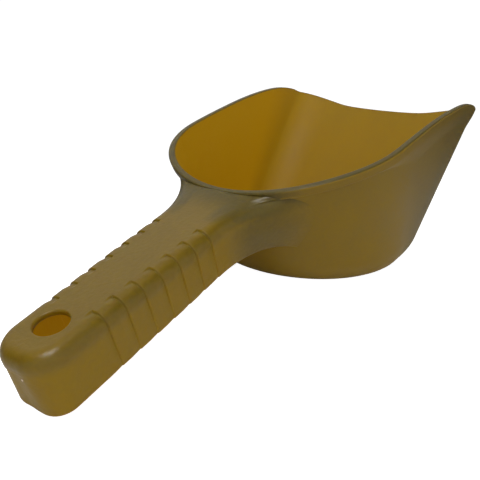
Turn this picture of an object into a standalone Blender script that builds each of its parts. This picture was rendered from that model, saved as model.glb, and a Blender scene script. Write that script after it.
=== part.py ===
"""Grain scoop shovel: a cup with a raked, flared mouth on a hollow, notched handle.

The shape is described in the tool frame, in millimetres: x runs from the handle's end to
the mouth, z is up, and z = 0 is the handle's flat top.  The finished part is then tilted so
that the cup's base lies level on z = 0, with the origin under the middle of the part.
"""
import math

import bmesh
import bpy
import numpy as np

MM = 0.001
GAP = 0.3                 # clearance between neighbouring solids

# Handle
TOP_HALF = 16.3           # half width of the handle at its widest, under the rounded edges
EDGE_R = 5.9              # radius of the rounded top edges
DEPTH = 23.9              # handle height, top to lower edge
END_DEEPER = 1.95         # how much lower the lower edge is at the handle's end
DEEPER_FROM = 55.0
SIDE_DRAFT = 0.055        # sideways taper of the skirt per mm of depth
END_DRAFT = 0.095         # taper of the end wall per mm of depth
END_X = -31.6             # end of the handle
END_CORNER_R = 13.5       # plan radius of the end corners
HANDLE_WALL = 2.4
GRIP_X = 64.0             # where the grip meets the neck
HOLE_X = -11.7            # hang hole
HOLE_R = 7.0

# Grip notches
NOTCHES = 7
NOTCH_PITCH = 10.0
NOTCH_DEPTH = 1.0
NOTCH_RAMP = 4.8          # length of the sloping side, towards the handle's end
NOTCH_STEP = 0.5          # length of the steep side, towards the cup
NOTCH_LEAN = 0.055

# Cup outline where the walls, extended, reach the height of the back of the rim
MOUTH_BACK_X = 88.2
MOUTH_BACK_A = 62.0       # length of the rounded back
MOUTH_HALF = 63.0         # half width at the end of the rounded back
MOUTH_FRONT_HALF = 65.9   # half width at the front corners
MOUTH_FRONT_X = 336.4
MOUTH_CORNER_A = 42.2     # length and width of the rounded front corners
MOUTH_CORNER_B = 46.7
MOUTH_BULGE = 1.7

# Cup outline where the walls, extended, meet the base plane
BASE_BACK_X = 105.3
BASE_BACK_A = 47.8
BASE_HALF = 57.8
BASE_FRONT_HALF = 55.1
BASE_FRONT_X = 182.4
BASE_CORNER_R = 21.5
BASE_BULGE = 3.5
BASE_SLOPE = 0.2361       # the base leans against the handle's top by this much
BASE_CLEARANCE = 0.25     # how far the handle's end stays above the base plane
BASE_FILLET = 15.5
BASE_SHRINK = 0.985       # keeps the flat base clear of the wall's fillet
SIDE_POWER = 1.32         # how late the sides leave the straight line

# Height of the rim over the handle's top, by share of the way from the back to the lip
RIM_SHARE = (0.0, 0.20, 0.40, 0.55, 0.68, 0.80, 0.90, 1.0)
RIM_LEVEL = (1.8, 4.4, 0.7, -5.7, -14.1, -22.5, -27.6, -29.8)

# Walls
CUP_WALL = 2.5
BAND_H = 4.6              # height of the thickened rim band
BAND_PROUD = 1.1          # how far the band stands out from the wall
BAND_R = 1.2

# Neck
NECK_FLARE_TOP = (30.0, 71.5)     # fillet radius and start, at the top
NECK_FLARE_LOW = (18.0, 84.0)     # the same at the lower edge
NECK_DROP = (22.0, 81.0)          # fillet under the handle: radius and start
NECK_EDGE_R = 11.5
NECK_BEND_X = 75.0
NECK_GAP = 0.6          # clearance from the cup, allowing for the facets
NECK_BAND_LEAD = 3.0    # how far below the rim band its clearance starts
NECK_ROWS = 14
NECK_STEPS = 12

BACK_STEPS = 18
SIDE_STEPS = 9
CORNER_STEPS = 10
LIP_STEPS = 4

OLIVE = (0.21, 0.15, 0.035)
AMBER = (0.30, 0.19, 0.03)


# ---------------------------------------------------------------- mesh helpers

def add_ring(bm, points):
    """Add one vertex per point."""
    return [bm.verts.new(tuple(p)) for p in points]


def bridge(bm, ring_a, ring_b, closed):
    """Join two rings of equal length with quads."""
    count = len(ring_a)
    last = count if closed else count - 1
    for i in range(last):
        j = (i + 1) % count
        bm.faces.new((ring_a[i], ring_a[j], ring_b[j], ring_b[i]))


def fan(bm, ring, point):
    """Close a ring with triangles to a point."""
    hub = bm.verts.new(tuple(point))
    count = len(ring)
    for i in range(count):
        bm.faces.new((ring[i], ring[(i + 1) % count], hub))


def fill_loops(bm, loops):
    """Fill the flat area between an outer loop and the holes in it."""
    edges = []
    for loop in loops:
        count = len(loop)
        for i in range(count):
            pair = (loop[i], loop[(i + 1) % count])
            edge = bm.edges.get(pair)
            if edge is None:
                edge = bm.edges.new(pair)
            edges.append(edge)
    bmesh.ops.triangle_fill(bm, use_beauty=True, use_dissolve=False, edges=edges)


def make_object(name, bm, material):
    """Turn a closed mesh in tool-frame millimetres into a named object."""
    bmesh.ops.recalc_face_normals(bm, faces=bm.faces[:])
    mesh = bpy.data.meshes.new(name)
    bm.to_mesh(mesh)
    bm.free()
    obj = bpy.data.objects.new(name, mesh)
    bpy.context.scene.collection.objects.link(obj)
    if material is not None:
        mesh.materials.append(material)
    return obj


def make_material(name, colour, roughness):
    """A plain opaque plastic."""
    material = bpy.data.materials.new(name)
    material.use_nodes = True
    shader = material.node_tree.nodes["Principled BSDF"]
    shader.inputs["Base Color"].default_value = (*colour, 1.0)
    shader.inputs["Roughness"].default_value = roughness
    shader.inputs["Metallic"].default_value = 0.0
    return material


# ---------------------------------------------------------------- cup

def half_outline(back, half, front_half, front_x, corner, bulge):
    """Plan outline of one side, from the middle of the back to the middle of the lip."""
    back_x, back_a = back
    corner_a, corner_b = corner
    points = []
    centre = back_x + back_a
    for i in range(BACK_STEPS + 1):
        angle = 0.5 * math.pi * i / BACK_STEPS
        points.append((centre - back_a * math.cos(angle), half * math.sin(angle)))
    corner_x = front_x - corner_a
    for i in range(1, SIDE_STEPS + 1):
        t = i / SIDE_STEPS
        y = half + (front_half - half) * t ** SIDE_POWER
        points.append((centre + (corner_x - centre) * t, y))
    for i in range(1, CORNER_STEPS + 1):
        angle = 0.5 * math.pi * i / CORNER_STEPS
        x = corner_x + corner_a * math.sin(angle)
        points.append((x, front_half - corner_b + corner_b * math.cos(angle)))
    for i in range(1, LIP_STEPS + 1):
        t = i / LIP_STEPS
        x = front_x + bulge * (1.0 - (1.0 - t) ** 2)
        points.append((x, (front_half - corner_b) * (1.0 - t)))
    return np.array(points)


def smooth(t):
    """Ease from 0 to 1."""
    t = np.clip(t, 0.0, 1.0)
    return t * t * (3.0 - 2.0 * t)


def rim_heights(outline):
    """Rim height along one side's outline, a smooth curve through the rim levels."""
    steps = np.diff(outline, axis=0)
    arc = np.concatenate([[0.0], np.cumsum(np.hypot(steps[:, 0], steps[:, 1]))])
    share = arc / arc[-1]
    at = np.array(RIM_SHARE)
    level = np.array(RIM_LEVEL)
    slope = np.zeros(len(at))
    slope[1:-1] = (level[2:] - level[:-2]) / (at[2:] - at[:-2])
    k = np.clip(np.searchsorted(at, share, side="right") - 1, 0, len(at) - 2)
    width = at[k + 1] - at[k]
    t = (share - at[k]) / width
    heights = level[k] * (1.0 + 2.0 * t) * (1.0 - t) ** 2
    heights += level[k + 1] * (3.0 - 2.0 * t) * t ** 2
    heights += slope[k] * width * t * (1.0 - t) ** 2
    heights += slope[k + 1] * width * t ** 2 * (t - 1.0)
    return heights


def mirrored(half):
    """Close a half outline into a full ring."""
    other = half[1:-1][::-1].copy()
    other[:, 1] *= -1.0
    return np.concatenate([half, other])


def base_plane_z(x):
    """Height of the cup's base plane in the tool frame."""
    end_x = END_X + END_DRAFT * (DEPTH - EDGE_R)
    return -DEPTH - END_DEEPER - BASE_CLEARANCE - BASE_SLOPE * (x - end_x)


def cup_frame():
    """Base ring, rim ring, wall direction, outward normal and inward base direction."""
    top = half_outline((MOUTH_BACK_X, MOUTH_BACK_A), MOUTH_HALF, MOUTH_FRONT_HALF,
                       MOUTH_FRONT_X, (MOUTH_CORNER_A, MOUTH_CORNER_B), MOUTH_BULGE)
    low = half_outline((BASE_BACK_X, BASE_BACK_A), BASE_HALF, BASE_FRONT_HALF,
                       BASE_FRONT_X, (BASE_CORNER_R, BASE_CORNER_R), BASE_BULGE)
    heights = rim_heights(top)
    back_base_z = base_plane_z(BASE_BACK_X)
    reach = (heights - back_base_z) / (RIM_LEVEL[0] - back_base_z)
    rim_xy = low + (top - low) * reach[:, None]
    rim = mirrored(np.column_stack([rim_xy, heights]))
    base = mirrored(np.column_stack([low, base_plane_z(low[:, 0])]))
    up = rim - base
    up /= np.linalg.norm(up, axis=1)[:, None]
    middle = 0.5 * (rim + base)
    along = np.roll(middle, -1, axis=0) - np.roll(middle, 1, axis=0)
    out = np.cross(along, up)
    out /= np.linalg.norm(out, axis=1)[:, None]
    centre = middle.mean(axis=0)
    out *= np.sign(np.sum(out * (middle - centre), axis=1))[:, None]
    floor = np.array([BASE_SLOPE, 0.0, 1.0])
    floor /= np.linalg.norm(floor)
    inward = -out + floor * np.sum(out * floor, axis=1)[:, None]
    inward /= np.linalg.norm(inward, axis=1)[:, None]
    return {"rim": rim, "base": base, "up": up, "out": out, "floor": floor, "inward": inward}


def wall_foot(cup, offset, lift):
    """Where the wall, moved inward by offset, meets the base raised by lift."""
    out = cup["out"]
    floor = cup["floor"]
    rise = lift + offset * np.sum(out * floor, axis=1)
    along = rise / np.sum(cup["up"] * floor, axis=1)
    return cup["base"] - out * offset + cup["up"] * along[:, None]


def base_edge(cup):
    """Ring where the outer fillet runs out into the flat base."""
    return wall_foot(cup, BAND_PROUD, 0.0) + cup["inward"] * BASE_FILLET


def fillet_rings(cup, offset, lift, size, count):
    """Rings from the flat base up the fillet to the straight wall."""
    foot = wall_foot(cup, offset, lift)
    start = base_edge(cup) + cup["floor"] * lift
    end = foot + cup["up"] * size
    rings = []
    for i in range(count + 1):
        t = i / count
        rings.append((1 - t) ** 2 * start + 2 * t * (1 - t) * foot + t * t * end)
    return rings


def wall_rings(cup, lower, offset, drop, count):
    """Rings up the straight wall, ending a given distance below the rim."""
    upper = cup["rim"] - cup["out"] * offset - cup["up"] * drop
    return [lower + (upper - lower) * i / count for i in range(1, count + 1)]


def build_cup_wall(material):
    """Conical wall with its fillet, open at the base and below the rim band."""
    cup = cup_frame()
    outer = fillet_rings(cup, BAND_PROUD, 0.0, BASE_FILLET, 5)
    outer += wall_rings(cup, outer[-1], BAND_PROUD, BAND_H + GAP, 3)
    inner = fillet_rings(cup, BAND_PROUD + CUP_WALL, CUP_WALL, BASE_FILLET - 2.0, 5)
    inner += wall_rings(cup, inner[-1], BAND_PROUD + CUP_WALL, BAND_H + GAP, 3)
    bm = bmesh.new()
    rings = [add_ring(bm, r) for r in outer + inner[::-1]]
    for i in range(len(rings)):
        bridge(bm, rings[i], rings[(i + 1) % len(rings)], True)
    return make_object("bowl_wall", bm, material)


def build_cup_base(material):
    """Flat floor of the cup."""
    cup = cup_frame()
    edge = base_edge(cup)
    centre = edge.mean(axis=0)
    edge = centre + (edge - centre) * BASE_SHRINK
    lift = cup["floor"] * CUP_WALL
    bm = bmesh.new()
    low = add_ring(bm, edge)
    high = add_ring(bm, edge + lift)
    bridge(bm, low, high, True)
    low_mid = add_ring(bm, centre + (edge - centre) * 0.5)
    high_mid = add_ring(bm, centre + (edge - centre) * 0.5 + lift)
    bridge(bm, low, low_mid, True)
    bridge(bm, high, high_mid, True)
    fan(bm, low_mid, centre)
    fan(bm, high_mid, centre + lift)
    return make_object("bowl_base", bm, material)


def build_rim_band(material):
    """Thickened, rounded lip round the mouth."""
    cup = cup_frame()
    thick = BAND_PROUD + CUP_WALL
    section = [(0.5, -BAND_H), (0.0, -BAND_H + 0.7), (0.0, -BAND_R)]
    for i in range(1, 4):
        angle = 0.5 * math.pi * i / 3
        section.append((BAND_R - BAND_R * math.cos(angle), -BAND_R + BAND_R * math.sin(angle)))
    section += [(thick - 0.8, 0.0), (thick - 0.23, -0.23), (thick, -0.8), (thick, -BAND_H)]
    bm = bmesh.new()
    rings = []
    for offset, height in section:
        rings.append(add_ring(bm, cup["rim"] - cup["out"] * offset + cup["up"] * height))
    for i in range(len(rings)):
        bridge(bm, rings[i], rings[(i + 1) % len(rings)], True)
    return make_object("rim_band", bm, material)


def back_wall_x(y, z):
    """Where the outside of the cup's back lies, with clearance, at a side step and height."""
    cup = cup_frame()
    back = slice(0, BACK_STEPS + 1)
    rim = cup["rim"][back]
    base = cup["base"][back]
    share = (z - base[:, 2]) / (rim[:, 2] - base[:, 2])
    in_band = z > rim[:, 2] - BAND_H - NECK_BAND_LEAD
    shift = NECK_GAP - np.where(in_band, 0.0, BAND_PROUD)
    spots = base + (rim - base) * share[:, None] + cup["out"][back] * shift[:, None]
    return float(np.interp(abs(y), spots[:, 1], spots[:, 0]))


# ---------------------------------------------------------------- grip

def notch_depth(x, z):
    """Depth of the grip notches at a place along the side."""
    depth = 0.0
    for k in range(NOTCHES):
        edge = k * NOTCH_PITCH + NOTCH_LEAN * (-EDGE_R - z)
        ahead = x - edge
        if -NOTCH_RAMP < ahead <= 0.0:
            depth = max(depth, NOTCH_DEPTH * (1.0 + ahead / NOTCH_RAMP))
        elif 0.0 < ahead < NOTCH_STEP:
            depth = max(depth, NOTCH_DEPTH * (1.0 - ahead / NOTCH_STEP))
    return depth


def grip_stations():
    """Plan stations of one side, from the neck to the middle of the end wall."""
    corner_x = END_X + END_CORNER_R
    spots = [GRIP_X - GAP / 2]
    for k in reversed(range(NOTCHES)):
        edge = k * NOTCH_PITCH
        for step in (NOTCH_STEP, 0.0, -0.5 * NOTCH_RAMP, -NOTCH_RAMP):
            spots.append(edge + step)
    spots += [HOLE_X, corner_x]
    stations = [(x, TOP_HALF, 0.0, 1.0) for x in spots if x < GRIP_X]
    for i in range(1, 8):
        angle = 0.5 * math.pi * i / 7
        x = corner_x - END_CORNER_R * math.sin(angle)
        y = TOP_HALF - END_CORNER_R + END_CORNER_R * math.cos(angle)
        stations.append((x, y, -math.sin(angle), math.cos(angle)))
    return stations


def grip_outline():
    """Whole U-shaped plan outline: position and outward normal."""
    left = grip_stations()
    right = [(x, -y, nx, -ny) for x, y, nx, ny in reversed(left)]
    return np.array(left + right)


def grip_ring(inset, z, rise=0.0, notched=True, share=1.0):
    """Ring of the grip's outline, moved inward by inset, at height z."""
    points = []
    for x, y, nx, ny in grip_outline():
        cut = 0.0
        if notched and abs(ny) > 0.99:
            cut = notch_depth(x, min(z, -EDGE_R)) * share
        shift = NOTCH_LEAN * max(0.0, -EDGE_R - z) if abs(ny) > 0.99 and x < GRIP_X - 1 else 0.0
        tilt = (SIDE_DRAFT * ny * ny + END_DRAFT * nx * nx) * max(0.0, -EDGE_R - z)
        pull = inset + tilt + cut * math.cos(rise)
        late = min(1.0, max(0.0, (DEEPER_FROM - x) / (DEEPER_FROM - END_X)))
        drop = END_DEEPER * late * max(0.0, -EDGE_R - z) / (DEPTH - EDGE_R)
        points.append((x + shift - nx * pull, y - ny * pull, z - cut * math.sin(rise) - drop))
    return np.array(points)


def build_handle_skirt(material):
    """Tapered side and end walls of the handle, open below."""
    levels = [-EDGE_R - GAP, -14.0, -DEPTH + 0.8]
    outer = [grip_ring(0.0, z) for z in levels]
    outer.append(grip_ring(0.8, -DEPTH))
    inner = [grip_ring(HANDLE_WALL, z, notched=False) for z in levels]
    inner.append(grip_ring(HANDLE_WALL - 0.4, -DEPTH, notched=False))
    bm = bmesh.new()
    rings = [add_ring(bm, r) for r in outer + inner[::-1]]
    count = len(rings)
    for i in range(count):
        bridge(bm, rings[i], rings[(i + 1) % count], False)
    bm.faces.new([ring[0] for ring in rings])
    bm.faces.new([ring[-1] for ring in rings][::-1])
    return make_object("handle_skirt", bm, material)


def edge_rings(radius, inset, top, count, notched):
    """Rings over a rounded top edge, from the side to the flat."""
    rings = []
    for i in range(count + 1):
        rise = 0.5 * math.pi * i / count
        share = 1.0 - smooth((i / count - 0.55) / 0.45)
        z = top - radius + radius * math.sin(rise)
        shift = inset + radius - radius * math.cos(rise)
        rings.append(grip_ring(shift, z, rise=rise, notched=notched, share=share))
    return rings


def hole_ring(z, radius):
    """Ring of the hang hole."""
    angles = np.linspace(0.0, 2.0 * math.pi, 33)[:-1]
    x = HOLE_X + radius * np.cos(angles)
    y = radius * np.sin(angles)
    return np.column_stack([x, y, np.full(len(angles), z)])


def build_handle_top(material):
    """Flat top of the handle with its rounded edges and the hang hole."""
    layers = 5
    outer = edge_rings(EDGE_R, 0.0, 0.0, layers, True)
    inner_r = EDGE_R - HANDLE_WALL
    inner = edge_rings(inner_r, HANDLE_WALL, -HANDLE_WALL, layers, False)
    bm = bmesh.new()
    out_rings = [add_ring(bm, r) for r in outer]
    in_rings = [add_ring(bm, r) for r in inner]
    for i in range(layers):
        bridge(bm, out_rings[i], out_rings[i + 1], False)
        bridge(bm, in_rings[i], in_rings[i + 1], False)
        for end in (0, -1):
            bm.faces.new((out_rings[i][end], out_rings[i + 1][end],
                          in_rings[i + 1][end], in_rings[i][end]))
    bridge(bm, out_rings[0], in_rings[0], False)
    bm.faces.new((out_rings[-1][0], out_rings[-1][-1], in_rings[-1][-1], in_rings[-1][0]))
    hole = [add_ring(bm, hole_ring(0.0, HOLE_R + 0.5)),
            add_ring(bm, hole_ring(-0.5, HOLE_R)),
            add_ring(bm, hole_ring(-HANDLE_WALL, HOLE_R))]
    bridge(bm, hole[0], hole[1], True)
    bridge(bm, hole[1], hole[2], True)
    fill_loops(bm, [out_rings[-1], hole[0]])
    fill_loops(bm, [in_rings[-1], hole[2]])
    return make_object("handle_top", bm, material)


# ---------------------------------------------------------------- neck

def fillet_drop(x, radius, start):
    """How far a fillet has left its straight line at x."""
    run = min(max(0.0, x - start), 0.93 * radius)
    return radius - math.sqrt(radius * radius - run * run)


def flare(x, z):
    """How much wider the neck is than the grip."""
    share = min(1.0, max(0.0, (-z - EDGE_R) / (DEPTH - EDGE_R)))
    radius = NECK_FLARE_TOP[0] + (NECK_FLARE_LOW[0] - NECK_FLARE_TOP[0]) * share
    start = NECK_FLARE_TOP[1] + (NECK_FLARE_LOW[1] - NECK_FLARE_TOP[1]) * share
    return fillet_drop(x, radius, start)


def neck_top_z(x):
    """Height of the neck's top: level, then rising to the rim."""
    rise = RIM_LEVEL[0] / (MOUTH_BACK_X - NECK_BEND_X)
    return rise * max(0.0, x - NECK_BEND_X)


def neck_point(x, row, inset):
    """Point of the neck's section at x; row 0 is the lower edge, 1 the flat, 2 its middle."""
    blend = smooth((x - GRIP_X) / (NECK_BEND_X - GRIP_X))
    edge_w = EDGE_R + (NECK_EDGE_R - EDGE_R) * blend
    edge_h = EDGE_R + (0.75 * NECK_EDGE_R - EDGE_R) * blend
    top = neck_top_z(x) - inset
    if row < 0.4:
        low = -DEPTH - fillet_drop(x, *NECK_DROP)
        z = low + (top - edge_h + inset - low) * row / 0.4
        y = TOP_HALF - SIDE_DRAFT * max(0.0, -EDGE_R - z) + flare(x, z) - inset
        return y, z
    if row > 1.0:
        y, z = neck_point(x, 1.0, inset)
        return y * (2.0 - row), z
    rise = 0.5 * math.pi * (row - 0.4) / 0.6
    z = top - (edge_h - inset) * (1.0 - math.sin(rise))
    y = TOP_HALF + flare(x, z) - inset - (edge_w - inset) * (1.0 - math.cos(rise))
    return y, z


def neck_end_x(row, inset):
    """How far forward a row of the neck runs before it meets the cup."""
    low = GRIP_X
    high = MOUTH_BACK_X + 30.0
    for _ in range(30):
        middle = 0.5 * (low + high)
        y, z = neck_point(middle, row, inset)
        if middle < back_wall_x(y, z):
            low = middle
        else:
            high = middle
    return low


def neck_rows(inset):
    """Grid of points over one face of the neck's sheet, one list per row."""
    start = GRIP_X + GAP / 2
    half = []
    shares = [i / NECK_ROWS for i in range(NECK_ROWS + 1)]
    for row in shares + [1.5]:
        end = neck_end_x(row, inset)
        line = []
        for k in range(NECK_STEPS + 1):
            x = start + (end - start) * k / NECK_STEPS
            y, z = neck_point(x, row, inset)
            line.append((x, y, z))
        half.append(np.array(line))
    flip = np.array([1.0, -1.0, 1.0])
    middle = 0.5 * (half[-1] + half[-1] * flip)
    middle[-1, 0] = neck_end_x(2.0, inset)
    return half + [middle] + [line * flip for line in reversed(half)]


def build_neck(material):
    """Hollow saddle that joins the handle to the cup, open below."""
    bm = bmesh.new()
    outer = [add_ring(bm, line) for line in neck_rows(0.0)]
    inner = [add_ring(bm, line) for line in neck_rows(HANDLE_WALL)]
    for a, b in zip(outer, outer[1:]):
        bridge(bm, a, b, False)
    for a, b in zip(inner, inner[1:]):
        bridge(bm, a, b, False)
    bridge(bm, outer[0], inner[0], False)
    bridge(bm, outer[-1], inner[-1], False)
    for end in (0, -1):
        bridge(bm, [line[end] for line in outer], [line[end] for line in inner], False)
    return make_object("handle_neck", bm, material)


# ---------------------------------------------------------------- assembly

def settle(objects):
    """Tilt the part onto its base and put the origin under its middle."""
    tilt = math.atan(BASE_SLOPE)
    turn = np.array([[math.cos(tilt), 0.0, -math.sin(tilt)],
                     [0.0, 1.0, 0.0],
                     [math.sin(tilt), 0.0, math.cos(tilt)]])
    floor = base_plane_z(0.0) * math.cos(tilt)
    spots = [np.array([vertex.co for vertex in obj.data.vertices]) @ turn.T for obj in objects]
    low = min(points[:, 0].min() for points in spots)
    high = max(points[:, 0].max() for points in spots)
    shift = np.array([0.5 * (low + high), 0.0, floor])
    for obj, points in zip(objects, spots):
        obj.data.vertices.foreach_set("co", ((points - shift) * MM).ravel())
        obj.data.update()


def main():
    """Build every sub-part."""
    for obj in list(bpy.data.objects):
        bpy.data.objects.remove(obj, do_unlink=True)
    build_cup_wall(make_material("bowl_wall", OLIVE, 0.42))
    build_cup_base(make_material("bowl_base", AMBER, 0.42))
    build_rim_band(make_material("rim_band", OLIVE, 0.38))
    build_handle_top(make_material("handle_top", OLIVE, 0.46))
    build_handle_skirt(make_material("handle_skirt", OLIVE, 0.46))
    build_neck(make_material("handle_neck", OLIVE, 0.44))
    settle(bpy.data.objects)


main()
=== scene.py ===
"""Finished looks of the grain scoop shovel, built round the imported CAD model.

The scoop is one plastic moulding.  Its skin is made here as two fine closed meshes, the cup
and the handle, whose surfaces run into each other.  Shapes are worked out in the tool frame,
in millimetres: x runs from the handle's end to the lip, y to the left, z up, and z = 0 is the
handle's flat top.  to_row() then tilts them onto the cup's base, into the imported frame.
"""

import math

import bmesh
import bpy
import numpy as np
from mathutils import Matrix, Vector


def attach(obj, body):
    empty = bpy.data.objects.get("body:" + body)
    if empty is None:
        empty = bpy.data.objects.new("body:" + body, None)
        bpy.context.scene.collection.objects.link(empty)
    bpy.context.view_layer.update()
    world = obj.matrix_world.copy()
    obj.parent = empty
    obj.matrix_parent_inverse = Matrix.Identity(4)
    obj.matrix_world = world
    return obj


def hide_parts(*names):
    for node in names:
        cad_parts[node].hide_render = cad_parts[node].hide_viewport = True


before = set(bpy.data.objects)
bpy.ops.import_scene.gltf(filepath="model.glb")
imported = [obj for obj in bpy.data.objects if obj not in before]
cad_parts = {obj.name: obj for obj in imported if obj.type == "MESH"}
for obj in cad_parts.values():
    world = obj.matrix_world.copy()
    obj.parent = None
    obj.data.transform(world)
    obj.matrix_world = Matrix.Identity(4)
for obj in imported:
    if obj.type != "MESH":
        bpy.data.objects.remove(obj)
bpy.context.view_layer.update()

MM = 0.001

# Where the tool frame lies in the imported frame
BASE_SLOPE = 0.2361                   # the cup's base leans this much against the handle's top
TOOL_ORIGIN = (-114.412, 0.0, 32.270)   # millimetres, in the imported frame

# Cup outline where the walls, extended, reach the height of the back of the rim
MOUTH_BACK_X = 88.2
MOUTH_BACK_A = 62.0
MOUTH_HALF = 63.0
MOUTH_FRONT_HALF = 65.9
MOUTH_FRONT_X = 337.6
MOUTH_CORNER_A = 42.2
MOUTH_CORNER_B = 46.7
MOUTH_BULGE = 1.7

# Cup outline where the walls, extended, meet the base plane
BASE_BACK_X = 103.2
BASE_BACK_A = 49.6
BASE_HALF = 57.8
BASE_FRONT_HALF = 55.1
BASE_FRONT_X = 183.6
BASE_CORNER_R = 21.5
BASE_BULGE = 3.5
BASE_LEVEL = -26.10                   # height of the base plane under the handle's end
BASE_LEVEL_X = -29.89
BASE_FILLET = 15.5
SIDE_POWER = 1.32

# Height of the rim by share of the way from the back to the lip
RIM_SHARE = (0.0, 0.20, 0.40, 0.55, 0.68, 0.80, 0.90, 1.0)
RIM_LEVEL = (1.8, 4.4, 0.7, -5.7, -14.1, -22.5, -27.6, -29.8)

CUP_WALL = 2.5
BAND_H = 4.6
BAND_PROUD = 1.1
BAND_R = 1.2
SWELL_H = 15.0                        # height of the soft swelling ahead of the neck
BAND_TOE = 0.5                        # small radii at the band's lower edge
LIP_R = 0.8                           # radius of the rim's inner edge
BAND_FACE = 11                        # first ring of the band's face, counted from its toe
BAND_TOP = 17                         # first ring past the middle of its rounded upper edge
RIM_INSIDE = 4                        # last rings of the rim, which face the inside

# Points along the cup's half outline, and how far its corners are eased, in points
BACK_STEPS = 96
SIDE_STEPS = 60
CORNER_STEPS = 64
LIP_STEPS = 20
EASE = 5.0
FILLET_STEPS = 16
WALL_STEPS = 30
FLOOR_STEPS = 8

# Handle
TOP_HALF = 16.3
EDGE_R = 5.9
DEPTH = 23.9
END_DEEPER = 1.95                     # how much lower the handle's lower edge is at its end
DEEPER_FROM = 55.0                    # and from where on it gets lower
SIDE_DRAFT = 0.055                    # sideways taper near the neck
END_SIDE_DRAFT = -0.02                # sideways taper near the handle's end
END_DRAFT = 0.055                     # taper of the end wall
END_X = -31.6
END_CORNER_R = 13.5
END_CORNER_LOW = (12.5, 9.5)          # corner radii at the lower edge, left and right
PARTING_Z = -7.6                      # mould parting crease round the end
PARTING_STEP = 0.32
GATE_AT = (-3.25, -9.75)              # where the moulding gate was, on the end wall
HANDLE_WALL = 2.4
WIDER = (-0.7, 1.3)                   # change of the half width at the end and at the neck
GRIP_X = 64.0                         # where the grip ends and the neck starts
CORNER_PLACE = -1000.0                # marks for points of the rounded end, clear of the notches
END_PLACE = -2000.0
HOLE_X = -11.7
HOLE_R = 7.0
HOLE_EDGE_R = 0.8
FOOT_R = 0.7                          # rounding of the handle's lower edge
HOLE_LOW_R = 0.5                      # rounding of the hang hole's lower edge
HOLE_TOP_RINGS = 7                    # upper rings of the hang hole, as grey as the flat top
HOLE_STEPS = 96
GATE_STEPS = 24
GRIP_ROWS = 28                        # rings up the grip's side
EDGE_STEPS = 18                       # rings over its rounded edge
INNER_ROWS = 24                       # rings up its inside
INNER_EDGE_STEPS = 8

# Grip notches: a ramp towards the handle's end and a step towards the cup; their tops end on
# the flat, by way past the rounded edge and share of the depth
NOTCHES = 7
NOTCH_PITCH = 10.0
NOTCH_DEPTH = 0.85
NOTCH_RAMP = 4.8
NOTCH_STEP = 0.45
NOTCH_LEAN = 0.055
NOTCH_FADE = 0.55                     # how much shallower the notches are at the lower edge
NOTCH_TOPS = ((0.4, 0.88), (0.8, 0.82), (1.1, 0.68), (1.35, 0.36), (1.55, 0.0), (1.75, 0.0))

# Neck: where its section lands on the cup, as side steps and heights by share of the way
# from its lower edge to the middle of its top
NECK_STEPS = 56
TOP_STEPS = 12                        # points across the flat top where the neck starts
NECK_EMBED = 0.12                     # how far the neck's edge is sunk into the cup
LAND_SHARE = (0.0, 0.15, 0.30, 0.45, 0.55, 0.65, 0.75, 0.86, 1.0)
LAND_SIDE = (31.0, 36.0, 40.0, 41.0, 39.0, 32.5, 21.0, 10.5, 0.0)
LAND_HEIGHT = (-33.0, -26.0, -17.5, -9.5, -4.8, -1.0, 1.1, 1.5, 1.6)

# Painted light, from 0 at the dark rim to 1 on the inner faces: colour and an amber emission stand
# in for light coming through the plastic, and low levels paint shade and grey sheen
# painted grey sheen: the rim is drawn dark grey-olive
RIM_GLOW = 0.06
# painted light: the handle's sides are drawn more amber than its flat top, as if lit through from
# below
TOP_GLOW = 0.40
SIDE_GLOW = 0.68
WALL_GLOW = 0.60
# painted shade on the neck, which sits in the hollow by the cup
NECK_GLOW = 0.10
NECK_SIDE_GLOW = 0.26
HOLE_GLOW = 0.6
GATE_GLOW = 2.0                       # past 1: the pale spot on the gate mark, which also gets the strongest amber glow
PAINTED_EDGE_SHADE = 0.13                       # painted shade: how much darker the rounded edge is drawn, standing in for the dark it reflects
OUTSIDE_SHARE = (0.0, 0.3, 0.45, 0.6, 1.0)         # way from the back of the cup to the lip
# painted shade: the cup's outside is drawn darker from partway along the sides, lightening again
# at the lip
OUTSIDE_GLOW = (0.60, 0.58, 0.38, 0.24, 0.40)
INSIDE_SHARE = (0.0, 0.55, 0.66, 0.80, 0.96, 1.0)
# painted shade: the inside is drawn darker from the middle to the lip
INSIDE_GLOW = (0.94, 0.97, 0.86, 0.80, 0.77, 0.77)

# Stage
BRIGHT_WAY = (0.35, 0.65, 0.67)       # direction of the bright card beyond the scoop
FLOOR_BRIGHT_AT = (-0.08, -0.14, 0.0)   # where the floor sends back most light
CAMERA_AT = Vector((-0.25493, -0.18249, 0.14254))
CAMERA_LOOK = Vector((0.74560, 0.56031, -0.36074))
CAMERA_ROLL = math.radians(-0.92)
CAMERA_LENS = 50.0


# ---------------------------------------------------------------- helpers

def smooth(t):
    """Ease from 0 to 1."""
    t = np.clip(t, 0.0, 1.0)
    return t * t * (3.0 - 2.0 * t)


def unit(v):
    """Vectors along the last axis, brought to length 1."""
    return v / np.linalg.norm(v, axis=-1, keepdims=True)


def arc(centre, radius, start, end, count):
    """Points of a circle's arc, angles in degrees."""
    angles = np.radians(np.linspace(start, end, count + 1))
    x = centre[0] + radius * np.cos(angles)
    y = centre[1] + radius * np.sin(angles)
    return list(zip(x, y))


def circle_angles(count):
    """Angles of evenly spaced points round a circle."""
    return np.linspace(0.0, 2.0 * math.pi, count + 1)[:-1]


def to_row(points):
    """Carry tool-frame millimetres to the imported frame's metres."""
    tilt = math.atan(BASE_SLOPE)
    turn = np.array([[math.cos(tilt), 0.0, -math.sin(tilt)],
                     [0.0, 1.0, 0.0],
                     [math.sin(tilt), 0.0, math.cos(tilt)]])
    return (np.asarray(points) @ turn.T + np.array(TOOL_ORIGIN)) * MM


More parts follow.
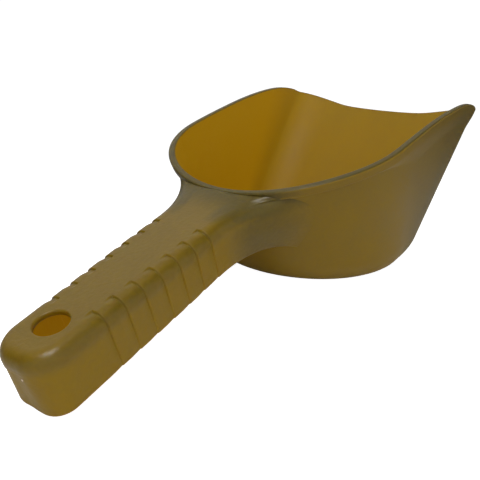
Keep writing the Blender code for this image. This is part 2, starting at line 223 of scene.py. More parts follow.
def grid_faces(rows, cols, first=0, closed=False):
    """Quads over a grid of vertices stored row by row."""
    r, c = np.meshgrid(np.arange(rows - 1), np.arange(cols if closed else cols - 1), indexing="ij")
    a = first + r * cols + c
    b = first + r * cols + (c + 1) % cols
    return np.stack([a, b, b + cols, a + cols], axis=-1).reshape(-1, 4).tolist()


def add_object(name, points, faces, material, glow):
    """Make a smooth mesh object; glow is the painted light at each vertex: light coming through,
    shade and sheen.
    """
    mesh = bpy.data.meshes.new(name)
    mesh.from_pydata(to_row(points).tolist(), [], faces)
    field = mesh.attributes.new("glow", "FLOAT", "POINT")
    field.data.foreach_set("value", np.asarray(glow, dtype=np.float32))
    bm = bmesh.new()
    bm.from_mesh(mesh)
    bmesh.ops.remove_doubles(bm, verts=bm.verts[:], dist=1e-6)
    bmesh.ops.recalc_face_normals(bm, faces=bm.faces[:])
    bm.to_mesh(mesh)
    bm.free()
    mesh.shade_smooth()
    mesh.materials.append(material)
    obj = bpy.data.objects.new(name, mesh)
    bpy.context.scene.collection.objects.link(obj)
    return obj


# ---------------------------------------------------------------- cup

def half_outline(back, half, front_half, front_x, corner, bulge):
    """Plan outline of one side, from the middle of the back to the middle of the lip."""
    back_x, back_a = back
    corner_a, corner_b = corner
    centre = back_x + back_a
    corner_x = front_x - corner_a
    angle = 0.5 * math.pi * np.arange(BACK_STEPS + 1) / BACK_STEPS
    parts = [np.column_stack([centre - back_a * np.cos(angle), half * np.sin(angle)])]
    t = np.arange(1, SIDE_STEPS + 1) / SIDE_STEPS
    parts.append(np.column_stack([centre + (corner_x - centre) * t,
                                  half + (front_half - half) * t ** SIDE_POWER]))
    angle = 0.5 * math.pi * np.arange(1, CORNER_STEPS + 1) / CORNER_STEPS
    parts.append(np.column_stack([corner_x + corner_a * np.sin(angle),
                                  front_half - corner_b + corner_b * np.cos(angle)]))
    t = np.arange(1, LIP_STEPS + 1) / LIP_STEPS
    parts.append(np.column_stack([front_x + bulge * (1.0 - (1.0 - t) ** 2),
                                  (front_half - corner_b) * (1.0 - t)]))
    return np.concatenate(parts)


def mirrored(half):
    """Close a half outline into a full ring."""
    other = half[1:-1][::-1].copy()
    other[:, 1] *= -1.0
    return np.concatenate([half, other])


def eased(ring):
    """The ring with its changes of curvature spread over a few points."""
    turns = np.fft.fftfreq(len(ring))
    keep = np.exp(-2.0 * (math.pi * EASE * turns) ** 2)
    return np.real(np.fft.ifft(np.fft.fft(ring, axis=0) * keep[:, None], axis=0))


def rim_share(ring):
    """Share of the way from the back to the lip, for each point of a closed ring."""
    half = len(ring) // 2 + 1
    steps = np.diff(ring[:half, :2], axis=0)
    run = np.concatenate([[0.0], np.cumsum(np.hypot(steps[:, 0], steps[:, 1]))])
    share = run / run[-1]
    return np.concatenate([share, share[1:-1][::-1]])


def rim_heights(share):
    """Rim height round the mouth, a smooth curve through the rim levels."""
    at = np.array(RIM_SHARE)
    level = np.array(RIM_LEVEL)
    slope = np.zeros(len(at))
    slope[1:-1] = (level[2:] - level[:-2]) / (at[2:] - at[:-2])
    k = np.clip(np.searchsorted(at, share, side="right") - 1, 0, len(at) - 2)
    width = at[k + 1] - at[k]
    t = (share - at[k]) / width
    heights = level[k] * (1.0 + 2.0 * t) * (1.0 - t) ** 2
    heights += level[k + 1] * (3.0 - 2.0 * t) * t ** 2
    heights += slope[k] * width * t * (1.0 - t) ** 2
    heights += slope[k + 1] * width * t ** 2 * (t - 1.0)
    return heights


def base_plane_z(x):
    """Height of the cup's base plane in the tool frame."""
    return BASE_LEVEL - BASE_SLOPE * (x - BASE_LEVEL_X)


def cup_frame():
    """Base ring, rim ring, wall direction, outward normal and inward base direction."""
    top = eased(mirrored(half_outline((MOUTH_BACK_X, MOUTH_BACK_A), MOUTH_HALF,
                                      MOUTH_FRONT_HALF, MOUTH_FRONT_X,
                                      (MOUTH_CORNER_A, MOUTH_CORNER_B), MOUTH_BULGE)))
    low = eased(mirrored(half_outline((BASE_BACK_X, BASE_BACK_A), BASE_HALF,
                                      BASE_FRONT_HALF, BASE_FRONT_X,
                                      (BASE_CORNER_R, BASE_CORNER_R), BASE_BULGE)))
    share = rim_share(top)
    heights = rim_heights(share)
    back_base_z = base_plane_z(BASE_BACK_X)
    reach = (heights - back_base_z) / (RIM_LEVEL[0] - back_base_z)
    rim = np.column_stack([low + (top - low) * reach[:, None], heights])
    base = np.column_stack([low, base_plane_z(low[:, 0])])
    up = unit(rim - base)
    middle = 0.5 * (rim + base)
    along = np.roll(middle, -1, axis=0) - np.roll(middle, 1, axis=0)
    out = unit(np.cross(along, up))
    out *= np.sign(np.sum(out * (middle - middle.mean(axis=0)), axis=1))[:, None]
    floor = unit(np.array([BASE_SLOPE, 0.0, 1.0]))
    inward = unit(-out + floor * np.sum(out * floor, axis=1)[:, None])
    return {"rim": rim, "base": base, "up": up, "out": out, "floor": floor, "inward": inward,
            "share": share}


def wall_foot(cup, offset, lift):
    """Where the wall, moved inward by offset, meets the base raised by lift."""
    rise = lift + offset * np.sum(cup["out"] * cup["floor"], axis=1)
    along = rise / np.sum(cup["up"] * cup["floor"], axis=1)
    return cup["base"] - cup["out"] * offset + cup["up"] * along[:, None]


def fillet_rings(cup, offset, lift, size):
    """Rings from the flat base up the fillet to the straight wall."""
    foot = wall_foot(cup, offset, lift)
    start = wall_foot(cup, BAND_PROUD, 0.0) + cup["inward"] * BASE_FILLET + cup["floor"] * lift
    end = foot + cup["up"] * size
    rings = []
    for i in range(FILLET_STEPS + 1):
        t = i / FILLET_STEPS
        rings.append((1 - t) ** 2 * start + 2 * t * (1 - t) * foot + t * t * end)
    return rings


def flat_rings(edge):
    """Rings over a flat floor, from near its middle to just inside its edge."""
    centre = edge.mean(axis=0)
    return [centre + (edge - centre) * (i / FLOOR_STEPS) for i in range(1, FLOOR_STEPS)]


def rim_section(toe, foot):
    """Section over the rim: distance inward from the band's face, and height over its top;
    toe and foot shape the band's lower edge."""
    thick = BAND_PROUD + CUP_WALL
    section = toe + foot
    section += [(0.0, -3.2), (0.0, -2.2)]
    section += arc((BAND_R, -BAND_R), BAND_R, 180.0, 90.0, 8)
    section += [(0.5 * thick, 0.0)]
    section += arc((thick - LIP_R, -LIP_R), LIP_R, 90.0, 0.0, 6)
    return section


def rim_rings(cup):
    """Rings over the rim.  The band has a crisp lower edge at the back and swells softly out
    of the wall further on; the rim's top is level across, then square to the wall at the lip."""
    crisp = rim_section(arc((BAND_PROUD - BAND_TOE, -BAND_H - BAND_TOE), BAND_TOE, 0.0, 90.0, 4),
                        arc((BAND_TOE, -BAND_H + BAND_TOE), BAND_TOE, 270.0, 180.0, 5))
    swell = [(BAND_PROUD * (1.0 - smooth(t)), -SWELL_H + (SWELL_H - 3.6) * t)
             for t in np.linspace(0.0, 1.0, 11)]
    soft = rim_section(swell[:5], swell[5:])
    share = cup["share"]
    blend = smooth((share - 0.22) / 0.16)
    lip = smooth((share - 0.50) / 0.22)
    level = cup["out"][:, 2] / cup["up"][:, 2] * (1.0 - lip)
    thick = BAND_PROUD + CUP_WALL
    rings = []
    for (inward, height), (soft_inward, soft_height) in zip(crisp, soft):
        across = inward + (soft_inward - inward) * blend
        across += 0.75 * BAND_PROUD * lip * (1.0 - across / thick)
        slide = height + (soft_height - height) * blend + across * level
        rings.append(cup["rim"] - cup["out"] * across[:, None] + cup["up"] * slide[:, None])
    return rings


def between(first, last, count):
    """Rings strictly between two rings."""
    return [first + (last - first) * i / count for i in range(1, count)]


def cup_glow(cup, count, band, outside):
    """Glow of the cup's rings, which paints light and shade: the rim's top is painted dark grey
    all round for its sheen, the band's face only near the neck, the inner wall's glow falls off
    from the back to the lip as painted shade and the floor is even."""
    glow = np.tile(np.interp(cup["share"], OUTSIDE_SHARE, OUTSIDE_GLOW), (count, 1))
    # Painted shade: the dark part of the band's face is shorter on the right than on the left
    clear = np.where(cup["rim"][:, 1] < 0.0, 0.07, 0.2)
    dark = 1.0 - smooth((cup["share"] - clear) / clear)
    glow[band + BAND_FACE:band + BAND_TOP] += (RIM_GLOW - WALL_GLOW) * dark
    glow[band + BAND_TOP:] = RIM_GLOW
    inside = np.interp(cup["share"], INSIDE_SHARE, INSIDE_GLOW)
    row = np.arange(count) - outside
    fade = np.minimum(1.0, 0.2 + 0.25 * row[row >= 0])[:, None]
    glow[outside:] = RIM_GLOW + (inside - RIM_GLOW) * fade
    low = smooth((row - WALL_STEPS) / FILLET_STEPS)[:, None]
    glow += (INSIDE_GLOW[0] - glow) * low
    return glow.ravel()


def build_cup(cup, material):
    """The whole cup: base, fillet, wall, rim band, inner wall and floor."""
    outer = fillet_rings(cup, BAND_PROUD, 0.0, BASE_FILLET)
    inner = fillet_rings(cup, BAND_PROUD + CUP_WALL, CUP_WALL, BASE_FILLET - 2.0)
    rim = rim_rings(cup)
    rings = flat_rings(outer[0]) + outer
    rings += between(outer[-1], rim[0], WALL_STEPS) + rim
    outside = len(rings) - RIM_INSIDE
    band = len(rings) - len(rim)
    rings += between(rim[-1], inner[-1], WALL_STEPS) + inner[::-1] + flat_rings(inner[0])[::-1]
    count = len(rings[0])
    points = np.concatenate(rings)
    faces = grid_faces(len(rings), count, closed=True)
    hubs = [outer[0].mean(axis=0), inner[0].mean(axis=0)]
    last = (len(rings) - 1) * count
    for i in range(count):
        faces.append([i, (i + 1) % count, len(points)])
        faces.append([last + (i + 1) % count, last + i, len(points) + 1])
    glow = cup_glow(cup, len(rings), band, outside)
    points = np.vstack([points, hubs])
    glow = np.append(glow, [WALL_GLOW, 1.0])
    return add_object("cup", points, faces, material, glow)


# ---------------------------------------------------------------- grip

def side_stations():
    """Places along the grip's side, from the neck to the rounded end, finer at each notch."""
    steps = (4.0, 3.2, 2.4, 1.6, 1.0, 0.62, 0.45, 0.3, 0.15, 0.0, -0.15, -0.35, -0.7, -1.2,
             -1.8, -2.5, -3.2, -3.9, -4.4, -4.8, -5.2)
    spots = []
    for k in reversed(range(NOTCHES)):
        spots += [k * NOTCH_PITCH + step for step in steps]
    corner_x = END_X + END_CORNER_R
    spots += list(np.linspace(spots[-1], corner_x, 12)[1:])
    return np.array(spots)


def grip_outline():
    """Plan outline from the neck round the end and back: x, y, outward normal, notch place."""
    corner_x = END_X + END_CORNER_R
    side = side_stations()
    rows = [(x, TOP_HALF, 0.0, 1.0, x) for x in side]
    for angle in np.radians(np.linspace(0.0, 90.0, 31)[1:]):
        rows.append((corner_x - END_CORNER_R * math.sin(angle),
                     TOP_HALF - END_CORNER_R + END_CORNER_R * math.cos(angle),
                     -math.sin(angle), math.cos(angle), CORNER_PLACE))
    half_end = TOP_HALF - END_CORNER_R
    for y in np.linspace(half_end, 0.0, 9)[1:]:
        rows.append((END_X, y, -1.0, 0.0, END_PLACE))
    left = np.array(rows)
    right = left[:-1][::-1] * np.array([1.0, -1.0, 1.0, -1.0, 1.0])
    return np.vstack([left, right])


def notch_depth(place, share):
    """Depth of the notches; share narrows and fades them towards their rounded tops."""
    depth = np.zeros_like(place)
    ramp = NOTCH_RAMP * (0.25 + 0.75 * share)
    for k in range(NOTCHES):
        ahead = place - k * NOTCH_PITCH
        rising = np.clip(1.0 + ahead / ramp, 0.0, 1.0) ** 1.15
        falling = np.clip(1.0 - ahead / NOTCH_STEP, 0.0, 1.0)
        depth = np.maximum(depth, np.where(ahead <= 0.0, rising, falling))
    return NOTCH_DEPTH * depth * share


def parting_step(y):
    """Step of the parting crease, which fades out across the end wall."""
    return PARTING_STEP * smooth((y + 5.0) / 6.0)


def grip_ring(outline, inset, z, rise=0.0, share=1.0):
    """The outline moved inward by inset at height z; rise tips the notches over the edge."""
    x, y, nx, ny, place = outline.T
    below = max(0.0, -EDGE_R - z)
    cut = notch_depth(place, share) if share > 0.0 else np.zeros_like(x)
    cut *= 1.0 - NOTCH_FADE * smooth(below / (DEPTH - EDGE_R))
    side = smooth((GRIP_X - place) / 4.0) * smooth((place - END_X - END_CORNER_R) / 8.0)
    shift = NOTCH_LEAN * below * side
    late = np.clip((DEEPER_FROM - x) / (DEEPER_FROM - END_X), 0.0, 1.0)
    y = y + (WIDER[1] + (WIDER[0] - WIDER[1]) * smooth(late)) * y / TOP_HALF
    z = z - END_DEEPER * late * below / (DEPTH - EDGE_R)
    draft = SIDE_DRAFT + (END_SIDE_DRAFT - SIDE_DRAFT) * late
    pull = inset + (draft * ny * ny + END_DRAFT * nx * nx) * below + cut * math.cos(rise)
    low = np.where(y > 0.0, END_CORNER_LOW[0], END_CORNER_LOW[1])
    spread = (END_CORNER_R - low) * below / (DEPTH - EDGE_R)
    corner = place == CORNER_PLACE
    x = x - spread * np.where(corner, 1.0 + nx, 0.0)
    y = y + spread * np.sign(y) * np.where(corner, 1.0 - np.abs(ny), 0.0)
    y = y * np.where(place == END_PLACE, 1.0 + spread / (TOP_HALF - END_CORNER_R), 1.0)
    pull = pull + nx * nx * parting_step(y) * (below > -PARTING_Z - EDGE_R)
    return np.column_stack([x + shift - nx * pull, y - ny * pull, z - cut * math.sin(rise)])


def outer_rings(outline):
    """Rings up the outside of the grip and over the rounded edge onto the flat."""
    rings = []
    for inward, height in arc((FOOT_R, -DEPTH + FOOT_R), FOOT_R, 270.0, 180.0, 4):
        rings.append(grip_ring(outline, inward, height))
    for z in np.linspace(-DEPTH + FOOT_R, PARTING_Z - 0.4, GRIP_ROWS)[1:]:
        rings.append(grip_ring(outline, 0.0, z))
    for z in (PARTING_Z - 0.05, PARTING_Z, PARTING_Z + 0.25, PARTING_Z + 0.8):
        rings.append(grip_ring(outline, 0.0, z))
    for i in range(EDGE_STEPS + 1):
        rise = 0.5 * math.pi * i / EDGE_STEPS
        share = 1.0 - 0.10 * smooth((i / EDGE_STEPS - 0.6) / 0.4)
        rings.append(grip_ring(outline, EDGE_R - EDGE_R * math.cos(rise),
                               EDGE_R * math.sin(rise) - EDGE_R, rise, share))
    for more, share in NOTCH_TOPS:
        rings.append(grip_ring(outline, EDGE_R + more, 0.0, 0.5 * math.pi, share))
    return rings


def inner_rings(outline):
    """Rings up the inside of the grip and over to the underside of its top."""
    radius = EDGE_R - HANDLE_WALL
    rings = [grip_ring(outline, HANDLE_WALL - 0.5, -DEPTH)]
    for z in np.linspace(-DEPTH + 0.5, -EDGE_R, INNER_ROWS):
        rings.append(grip_ring(outline, HANDLE_WALL, z))
    for i in range(1, INNER_EDGE_STEPS + 1):
        rise = 0.5 * math.pi * i / INNER_EDGE_STEPS
        share = 1.0 - smooth(i / INNER_EDGE_STEPS)
        rings.append(grip_ring(outline, HANDLE_WALL + radius - radius * math.cos(rise),
                               -EDGE_R + radius * math.sin(rise), rise, share))
    for more in (0.6, 1.2):
        rings.append(grip_ring(outline, EDGE_R + more, -HANDLE_WALL))
    return rings


def hole_rings(top, bottom):
    """Rings down through the hang hole, with rounded edges."""
    r = HOLE_EDGE_R
    section = [(HOLE_R + r + 0.25, top)]
    section += arc((HOLE_R + r, top - r), r, 90.0, 180.0, 7)
    section += arc((HOLE_R + HOLE_LOW_R, bottom + HOLE_LOW_R), HOLE_LOW_R, 180.0, 270.0, 4)
    section += [(HOLE_R + 1.2, bottom)]
    angles = circle_angles(HOLE_STEPS)
    return [np.column_stack([HOLE_X + radius * np.cos(angles), radius * np.sin(angles),
                             np.full(len(angles), z)]) for radius, z in section]


def gate_mark():
    """Rings of the low dome that the moulding gate left on the handle's end wall."""
    y, z = GATE_AT
    below = -EDGE_R - z
    x = END_X + END_DRAFT * below + parting_step(y)
    angles = circle_angles(GATE_STEPS)
    section = [(0.0, 0.25), (0.25, 0.22), (0.42, 0.12), (0.5, -0.05), (0.5, -0.4), (0.0, -0.4)]
    return [np.column_stack([np.full(len(angles), x - proud), y + radius * np.cos(angles),
                             z + radius * np.sin(angles)]) for radius, proud in section]


def flat_fill(points, loops):
    """Triangles that fill the flat area between an outer loop and the holes in it."""
    bm = bmesh.new()
    verts = {}
    edges = []
    for loop in loops:
        for i in loop:
            verts[i] = bm.verts.new(points[i])
            verts[i].index = i
        for a, b in zip(loop, loop[1:] + loop[:1]):
            edges.append(bm.edges.new((verts[a], verts[b])))
    names = {vertex: i for i, vertex in verts.items()}
    bmesh.ops.triangle_fill(bm, use_beauty=True, edges=edges)
    faces = [[names[vertex] for vertex in face.verts] for face in bm.faces]
    bm.free()
    return faces


# ---------------------------------------------------------------- neck

def cup_back(cup, side, height, sink):
    """Points of the cup's outside back, and the wall's direction away from the middle."""
    back = slice(0, BACK_STEPS + SIDE_STEPS // 2)
    rim = cup["rim"][back]
    base = cup["base"][back]
    out = cup["out"][back]
    points = []
    ways = []
    for y, z in zip(side, height):
        share = (z - base[:, 2]) / (rim[:, 2] - base[:, 2])
        over = np.clip(z - rim[:, 2] + BAND_R, 0.0, 0.95 * BAND_R)
        inside = sink + BAND_PROUD * smooth((rim[:, 2] - BAND_H + 0.7 - z) / 1.2)
        inside += BAND_R - np.sqrt(BAND_R ** 2 - over ** 2)
        line = base + (rim - base) * share[:, None] - out * inside[:, None]
        spot = [np.interp(y, line[:, 1], line[:, k]) for k in range(3)]
        ahead = [np.interp(y + 0.5, line[:, 1], line[:, k]) for k in range(3)]
        points.append(spot)
        ways.append(np.array(ahead) - np.array(spot))
    return np.array(points), unit(np.array(ways))


def softened(values, mode, **extra):
    """Values averaged over nine neighbours."""
    return np.convolve(np.pad(values, 4, mode=mode, **extra), np.ones(9) / 9, "valid")


def neck_rows(cup, section):
    """Loft from the grip's section to the cup, over the left half, and the share of the way
    up the section at each of its points."""
    steps = np.linalg.norm(np.diff(section, axis=0), axis=1)
    run = np.concatenate([[0.0], np.cumsum(steps)])
    share = run / run[-1]
    side = softened(np.interp(share, LAND_SHARE, LAND_SIDE), "reflect", reflect_type="odd")
    height = softened(np.interp(share, LAND_SHARE, LAND_HEIGHT), "edge")
    side[-1] = 0.0
    end, way = cup_back(cup, np.maximum(side, 0.0), height, NECK_EMBED)
    top = smooth((share - 0.62) / 0.3)[:, None]
    way = unit(way + np.array([0.0, 0.0, -0.35]) * (1.0 - smooth(share / 0.4))[:, None])
    way = unit(way * (1.0 - top) + np.array([1.0, 0.0, 0.12]) * top)
    body = smooth((share - 0.1) / 0.3)[:, None] * (1.0 - top)
    # How far each curve runs straight out of the grip, and straight into the cup
    leave = 20.0 - 6.0 * top - 3.0 * body
    arrive = 12.0 - 4.0 * top - 1.0 * body
    one = section + np.array([1.0, 0.0, 0.0]) * leave
    two = end - way * arrive
    grid = []
    for t in np.linspace(0.0, 1.0, NECK_STEPS + 1):
        grid.append((1 - t) ** 3 * section + 3 * t * (1 - t) ** 2 * one
                    + 3 * t * t * (1 - t) * two + t ** 3 * end)
    return np.array(grid), share


def grid_normals(grid):
    """Unit normals of a grid of points."""
    return unit(np.cross(np.gradient(grid, axis=0), np.gradient(grid, axis=1)))


def side_weight(depth):
    """0 on the handle's flat top and 1 on its sides, by depth below the top."""
    return smooth((depth - 1.5) / 7.0)


def edge_weight(depth):
    """1 on the handle's rounded edge and 0 away from it, by depth below the top."""
    return np.clip(smooth((depth - 0.2) / 2.0) - smooth((depth - 4.5) / 5.0), 0.0, 1.0)


def grip_glow(depth):
    """Glow of the grip's outside, by depth below the top: painted light makes the sides more amber
    than the top, and painted shade darkens the rounded edge.
    """
    return TOP_GLOW + (SIDE_GLOW - TOP_GLOW) * side_weight(depth) - PAINTED_EDGE_SHADE * edge_weight(depth)


def neck_glow(grid, share):
    """Glow of the neck's outside: painted shade on the shoulders and sides and a painted grey
    end, running into the cup's wall.
    """
    away = np.linspace(0.0, 1.0, NECK_STEPS + 1)[1:, None]
    depth = -grid[1:, :, 2]
    side = side_weight(depth)
    edge = edge_weight(depth)
    share = np.concatenate([share, share[:-1][::-1]])
    # painted shade along the neck's shoulders
    shoulder = np.clip(smooth((share - 0.42) / 0.12) - smooth((share - 0.74) / 0.12), 0.0, 1.0)
    edge += (shoulder - edge) * smooth(away / 0.12)
    glow = TOP_GLOW + (SIDE_GLOW - TOP_GLOW) * side - PAINTED_EDGE_SHADE * edge
    # painted shade: the neck is drawn darker than the grip, a little less on its sides
    target = NECK_GLOW + (NECK_SIDE_GLOW - NECK_GLOW) * side * (1.0 - edge)
    glow += (target - glow) * smooth(away / (1.0 - 0.65 * np.maximum(edge, side)))
    glow += (WALL_GLOW - glow) * side * smooth((away - 0.55) / 0.45)
    return glow.ravel()


# ---------------------------------------------------------------- handle

class Skin:
    """Points, faces and glow of one skin, gathered piece by piece."""

    def __init__(self):
        self.points = []
        self.faces = []
        self.glow = []

    def add(self, rows, amount):
        """Add points and say how much painted light they get; gives the first one's number."""
        first = len(self.points)
        self.points.extend(rows)
        self.glow.extend(np.broadcast_to(amount, len(rows)).tolist())
        return first

    def grid(self, rows, cols, first, closed=False):
        """Quads over points that were added row by row."""
        self.faces += grid_faces(rows, cols, first, closed)

    def strip(self, one, two):
        """Quads between two equally long runs of points."""
        self.faces += [[one[i], one[i + 1], two[i + 1], two[i]] for i in range(len(one) - 1)]


def add_grip(skin):
    """The grip's outside and hollow inside, joined at the lower edge; gives the numbers of
    its outer columns at the neck and of the loops round its flat top, above and below."""
    outline = grip_outline()
    outer = outer_rings(outline)
    inner = inner_rings(outline)
    count = len(outline)
    shell = np.concatenate(outer)
    first = skin.add(shell, grip_glow(-shell[:, 2]))
    skin.grid(len(outer), count, first)
    inner_first = skin.add(np.concatenate(inner), 1.0)
    skin.grid(len(inner), count, inner_first)
    skin.strip(range(first, first + count), range(inner_first, inner_first + count))
    top_half = outer[-1][0][1]
    y = np.linspace(top_half, -top_half, TOP_STEPS + 1)[1:-1]
    across = np.column_stack([np.full(len(y), GRIP_X), y, np.zeros(len(y))])
    middle_first = skin.add(across, TOP_GLOW)
    middle = list(range(middle_first, middle_first + len(y)))
    left = [first + r * count for r in range(len(outer))]
    right = [first + r * count + count - 1 for r in reversed(range(len(outer)))]
    top = [first + (len(outer) - 1) * count + i for i in range(count)] + middle[::-1]
    under = [inner_first + (len(inner) - 1) * count + i for i in range(count)]
    return left + middle + right, top, under


def add_neck(skin, cup, columns):
    """The neck's outside and underside, from the grip's outer columns to the cup."""
    middle = len(columns) // 2
    section = np.array([skin.points[i] for i in columns[:middle + 1]])
    half, share = neck_rows(cup, section)
    flip = np.array([1.0, -1.0, 1.0])
    whole = np.concatenate([half, half[:, :-1][:, ::-1] * flip], axis=1)
    width = whole.shape[1]
    normals = grid_normals(whole)
    if normals[0, middle, 2] < 0.0:
        normals = -normals
    first = skin.add(whole[1:].reshape(-1, 3), neck_glow(whole, share))
    skin.grid(NECK_STEPS, width, first)
    skin.strip(columns, range(first, first + width))
    t = np.linspace(0.0, 1.0, NECK_STEPS + 1)
    deep = HANDLE_WALL - 1.0 * smooth((t - 0.75) / 0.25)
    under = whole - normals * deep[:, None, None]
    # The first and last three columns follow the rounded foot, so they move to the next column
    under[:, :3] = under[:, 3:4]
    under[:, -3:] = under[:, -4:-3]
    under_first = skin.add(under.reshape(-1, 3), 1.0)
    skin.grid(NECK_STEPS + 1, width, under_first)
    for side in (0, width - 1):
        skin.strip([columns[side]] + [first + k * width + side for k in range(NECK_STEPS)],
                   [under_first + k * width + side for k in range(NECK_STEPS + 1)])
    last = first + (NECK_STEPS - 1) * width
    under_last = under_first + NECK_STEPS * width
    skin.strip(range(last, last + width), range(under_last, under_last + width))


def add_flats(skin, top, under):
    """The flat top and its underside, with the hang hole through both."""
    hole = hole_rings(0.0, -HANDLE_WALL)
    ring = len(hole[0])
    first = skin.add(np.concatenate(hole[:HOLE_TOP_RINGS]), TOP_GLOW)
    skin.add(np.concatenate(hole[HOLE_TOP_RINGS:]), HOLE_GLOW)
    skin.grid(len(hole), ring, first, closed=True)
    last = first + (len(hole) - 1) * ring
    skin.faces += flat_fill(skin.points, [top, list(range(first, first + ring))])
    skin.faces += flat_fill(skin.points, [under, list(range(last, last + ring))])


def build_handle(cup, material):
    """Grip, neck, hollow inside, hang hole and gate mark as one skin."""
    skin = Skin()
    columns, top, under = add_grip(skin)
    add_neck(skin, cup, columns)
    add_flats(skin, top, under)
    gate = gate_mark()
    gate_first = skin.add(np.concatenate(gate), GATE_GLOW)
    skin.grid(len(gate), len(gate[0]), gate_first, closed=True)
    return add_object("handle", np.array(skin.points), skin.faces, material, skin.glow)


# ---------------------------------------------------------------- materials

GREY_OLIVE = (0.072, 0.056, 0.007)    # painted shade and sheen: drawn where the glow is lowest
OLIVE = (0.150, 0.095, 0.003)
AMBER = (0.290, 0.170, 0.002)         # painted light: the amber of light coming through, where the glow is highest
GATE_PALE = (0.62, 0.58, 0.42)        # pale spot on the gate mark


def moulded_plastic(name, roughness, grain, grain_size):
    """Translucent olive plastic with a fine eroded grain; the glow attribute paints amber colour
    and emission where light comes through, and grey-olive as painted shade and sheen.
    """
    material = bpy.data.materials.new(name)
    material.use_nodes = True
    nodes = material.node_tree.nodes
    links = material.node_tree.links
    shader = nodes["Principled BSDF"]
    place = nodes.new("ShaderNodeTexCoord")
    clouds = nodes.new("ShaderNodeTexNoise")
    clouds.inputs["Scale"].default_value = 38.0
    clouds.inputs["Detail"].default_value = 4.0
    links.new(place.outputs["Object"], clouds.inputs["Vector"])
    flecks = nodes.new("ShaderNodeTexNoise")
    flecks.inputs["Scale"].default_value = grain_size
    flecks.inputs["Detail"].default_value = 3.0
    links.new(place.outputs["Object"], flecks.inputs["Vector"])
    glow = nodes.new("ShaderNodeAttribute")
    glow.attribute_name = "glow"
    uneven = nodes.new("ShaderNodeMath")
    uneven.operation = "MULTIPLY_ADD"
    uneven.inputs[1].default_value = 0.22
    links.new(clouds.outputs["Fac"], uneven.inputs[0])
    links.new(glow.outputs["Fac"], uneven.inputs[2])
    depth = nodes.new("ShaderNodeMath")
    depth.operation = "MULTIPLY_ADD"
    depth.inputs[1].default_value = 0.20
    links.new(flecks.outputs["Fac"], depth.inputs[0])
    links.new(uneven.outputs["Value"], depth.inputs[2])
    shift = nodes.new("ShaderNodeMath")
    shift.operation = "SUBTRACT"
    shift.inputs[1].default_value = 0.21
    links.new(depth.outputs["Value"], shift.inputs[0])
    half = nodes.new("ShaderNodeMath")
    half.operation = "MULTIPLY"
    half.inputs[1].default_value = 0.5
    links.new(shift.outputs["Value"], half.inputs[0])
    # painted light and shade: glow picks the base colour from grey-olive to amber
    ramp = nodes.new("ShaderNodeValToRGB")
    stops = ramp.color_ramp.elements
    stops[0].position = 0.0
    stops[0].color = (*GREY_OLIVE, 1.0)
    stops[1].position = 0.85
    stops[1].color = (*GATE_PALE, 1.0)
    for share, colour in ((0.15, OLIVE), (0.45, AMBER), (0.65, AMBER)):
        stop = stops.new(share)
        stop.color = (*colour, 1.0)
    links.new(half.outputs["Value"], ramp.inputs["Fac"])
    links.new(ramp.outputs["Color"], shader.inputs["Base Color"])
    bump = nodes.new("ShaderNodeBump")
    bump.inputs["Strength"].default_value = grain
    bump.inputs["Distance"].default_value = 0.0002
    links.new(flecks.outputs["Fac"], bump.inputs["Height"])
    links.new(bump.outputs["Normal"], shader.inputs["Normal"])
    rough = nodes.new("ShaderNodeMapRange")
    rough.inputs["From Min"].default_value = 0.5
    rough.inputs["From Max"].default_value = 1.0
    rough.inputs["To Min"].default_value = roughness
    rough.inputs["To Max"].default_value = 0.66
    links.new(shift.outputs["Value"], rough.inputs["Value"])
    links.new(rough.outputs["Result"], shader.inputs["Roughness"])
    # painted light: the plastic glows amber where glow is high, standing in for light coming
    # through the walls
    through = nodes.new("ShaderNodeMapRange")
    through.inputs["From Min"].default_value = 0.7
    through.inputs["To Max"].default_value = 0.12
    links.new(glow.outputs["Fac"], through.inputs["Value"])
    links.new(through.outputs["Result"], shader.inputs["Emission Strength"])
    shader.inputs["Emission Color"].default_value = (1.0, 0.46, 0.004, 1.0)
    shader.inputs["IOR"].default_value = 1.49
    shine = nodes.new("ShaderNodeMapRange")
    shine.inputs["From Min"].default_value = 0.5
    shine.inputs["From Max"].default_value = 1.0
    shine.inputs["To Min"].default_value = 0.32
    shine.inputs["To Max"].default_value = 0.10
    links.new(shift.outputs["Value"], shine.inputs["Value"])
    links.new(shine.outputs["Result"], shader.inputs["Specular IOR Level"])
    shader.inputs["Subsurface Weight"].default_value = 0.6
    shader.inputs["Subsurface Radius"].default_value = (1.0, 0.62, 0.06)
    shader.inputs["Subsurface Scale"].default_value = 0.004
    return material


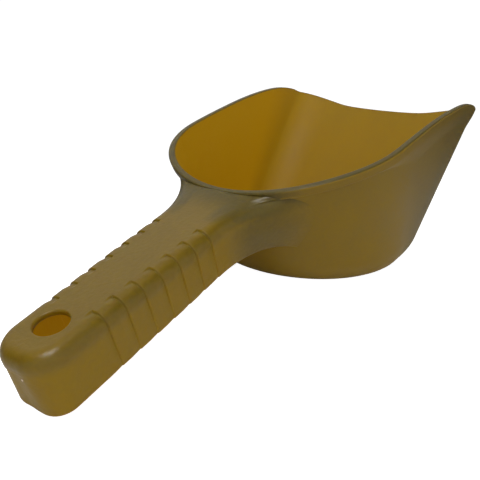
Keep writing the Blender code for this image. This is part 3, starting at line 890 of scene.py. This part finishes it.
def paper(name):
    """Plain pale floor."""
    material = bpy.data.materials.new(name)
    material.use_nodes = True
    nodes = material.node_tree.nodes
    links = material.node_tree.links
    shader = nodes["Principled BSDF"]
    shader.inputs["Roughness"].default_value = 0.9
    place = nodes.new("ShaderNodeTexCoord")
    away = nodes.new("ShaderNodeVectorMath")
    away.operation = "DISTANCE"
    away.inputs[1].default_value = FLOOR_BRIGHT_AT
    links.new(place.outputs["Object"], away.inputs[0])
    # painted shade: the floor is drawn darker away from FLOOR_BRIGHT_AT, so the plastic reflects a
    # dark far floor; to the camera it is white through the emission below
    ramp = nodes.new("ShaderNodeValToRGB")
    ramp.color_ramp.elements[0].position = 0.16
    ramp.color_ramp.elements[0].color = (0.80, 0.80, 0.80, 1.0)
    ramp.color_ramp.elements[1].position = 0.42
    ramp.color_ramp.elements[1].color = (0.10, 0.10, 0.10, 1.0)
    links.new(away.outputs["Value"], ramp.inputs["Fac"])
    links.new(ramp.outputs["Color"], shader.inputs["Base Color"])
    shader.inputs["Emission Color"].default_value = (1.0, 1.0, 1.0, 1.0)
    seen = nodes.new("ShaderNodeLightPath")
    lift = nodes.new("ShaderNodeMath")
    lift.operation = "MULTIPLY"
    lift.inputs[1].default_value = 0.97
    links.new(seen.outputs["Is Camera Ray"], lift.inputs[0])
    links.new(lift.outputs["Value"], shader.inputs["Emission Strength"])
    return material


# ---------------------------------------------------------------- stage

def build_floor():
    """A wide pale floor under the scoop."""
    mesh = bpy.data.meshes.new("floor")
    size = 12.0
    mesh.from_pydata([(-size, -size, 0), (size, -size, 0), (size, size, 0), (-size, size, 0)], [],
                     [(0, 1, 2, 3)])
    mesh.materials.append(paper("floor_paper"))
    floor = bpy.data.objects.new("floor", mesh)
    bpy.context.scene.collection.objects.link(floor)


def add_softbox(name, at, towards, size, power):
    """A square area light."""
    light = bpy.data.lights.new(name, "AREA")
    light.shape = "RECTANGLE"
    light.size, light.size_y = size
    light.energy = power
    obj = bpy.data.objects.new(name, light)
    obj.location = at
    way = Vector(towards) - Vector(at)
    obj.rotation_euler = way.to_track_quat("-Z", "Y").to_euler()
    bpy.context.scene.collection.objects.link(obj)


def build_lights():
    """Soft studio light: a bright card beyond the scoop, a dim surround and a softbox above."""
    world = bpy.data.worlds.new("studio")
    world.use_nodes = True
    nodes = world.node_tree.nodes
    links = world.node_tree.links
    back = nodes["Background"]
    way = nodes.new("ShaderNodeTexCoord")
    facing = nodes.new("ShaderNodeVectorMath")
    facing.operation = "DOT_PRODUCT"
    facing.inputs[1].default_value = BRIGHT_WAY
    links.new(way.outputs["Generated"], facing.inputs[0])
    ramp = nodes.new("ShaderNodeValToRGB")
    bands = ramp.color_ramp.elements
    bands[0].position = 0.0
    bands[0].color = (0.86, 0.86, 0.86, 1.0)
    bands[1].position = 1.0
    bands[1].color = (0.86, 0.86, 0.86, 1.0)
    for share, level in ((0.10, 0.36), (0.22, 0.06), (0.52, 0.08), (0.80, 0.46)):
        band = bands.new(share)
        band.color = (level, level, level, 1.0)
    links.new(facing.outputs["Value"], ramp.inputs["Fac"])
    seen = nodes.new("ShaderNodeLightPath")
    mix = nodes.new("ShaderNodeMix")
    mix.data_type = "RGBA"
    mix.inputs["B"].default_value = (1.0, 1.0, 1.0, 1.0)
    links.new(seen.outputs["Is Camera Ray"], mix.inputs["Factor"])
    links.new(ramp.outputs["Color"], mix.inputs["A"])
    links.new(mix.outputs["Result"], back.inputs["Color"])
    back.inputs["Strength"].default_value = 1.0
    bpy.context.scene.world = world
    add_softbox("top_softbox", (-0.44, -0.18, 1.12), (0.0, 0.0, 0.0), (0.34, 0.34), 8.0)
    bpy.context.scene.view_settings.view_transform = "Standard"


def build_camera():
    """Camera at the viewing angle of the picture."""
    data = bpy.data.cameras.new("camera")
    data.lens = CAMERA_LENS
    data.sensor_width = 36.0
    data.clip_start = 0.01
    camera = bpy.data.objects.new("camera", data)
    turn = CAMERA_LOOK.to_track_quat("-Z", "Y").to_matrix() @ Matrix.Rotation(CAMERA_ROLL, 3, "Z")
    camera.matrix_world = Matrix.Translation(CAMERA_AT) @ turn.to_4x4()
    bpy.context.scene.collection.objects.link(camera)
    bpy.context.scene.camera = camera


def main():
    """Build the looks, say what stands for what, and finish."""
    cup = cup_frame()
    cup_skin = build_cup(cup, moulded_plastic("cup_plastic", 0.42, 0.12, 700.0))
    handle_skin = build_handle(cup, moulded_plastic("handle_plastic", 0.36, 0.60, 560.0))
    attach(cup_skin, "root")
    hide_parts("bowl_wall", "bowl_base", "rim_band")
    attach(handle_skin, "root")
    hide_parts("handle_top", "handle_skirt", "handle_neck")
    build_floor()
    build_lights()
    build_camera()


main()
